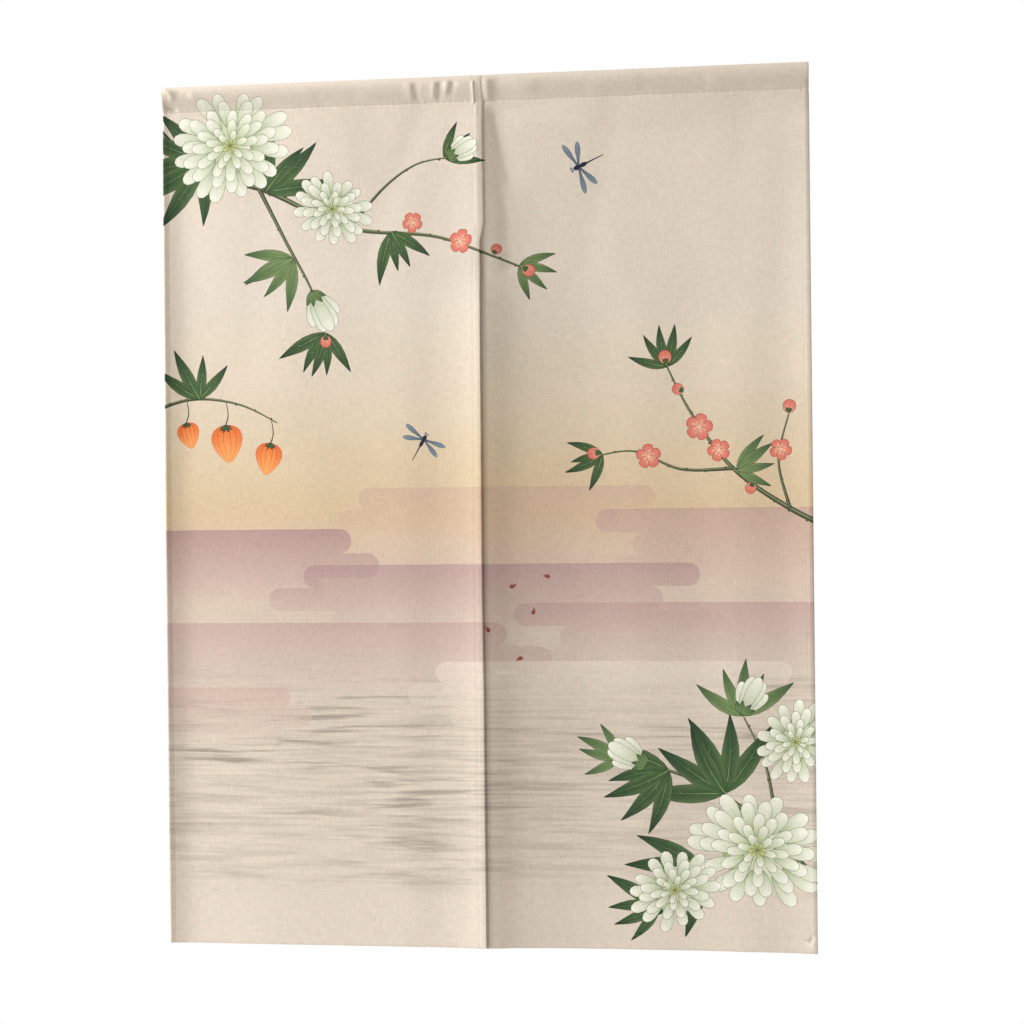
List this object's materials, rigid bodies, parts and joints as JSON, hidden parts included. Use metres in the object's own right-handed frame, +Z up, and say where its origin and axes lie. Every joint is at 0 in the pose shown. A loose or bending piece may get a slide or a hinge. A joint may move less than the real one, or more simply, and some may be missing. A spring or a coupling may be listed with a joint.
{
  "type": "noren curtain",
  "caption": "Short split door curtain of printed linen-look cloth, with a rod pocket along its top edge and two panels that lap at a half-open slit.",
  "frame": {"origin": "middle of the curtain's top edge, over the middle of the rod pocket", "axes": "+Z up, +Y towards the back of the cloth, +X to the right of someone who looks at its printed face"},
  "size_m": [0.9, 0.02, 1.2],
  "materials": {
    "printed_cloth": "matt slubbed plain weave in warm cream, printed on its face with flowers, leaves and mist bands"
  },
  "bodies": {
    "root": {"left_panel": "printed_cloth", "right_panel": "printed_cloth"}
  },
  "joints": []
}
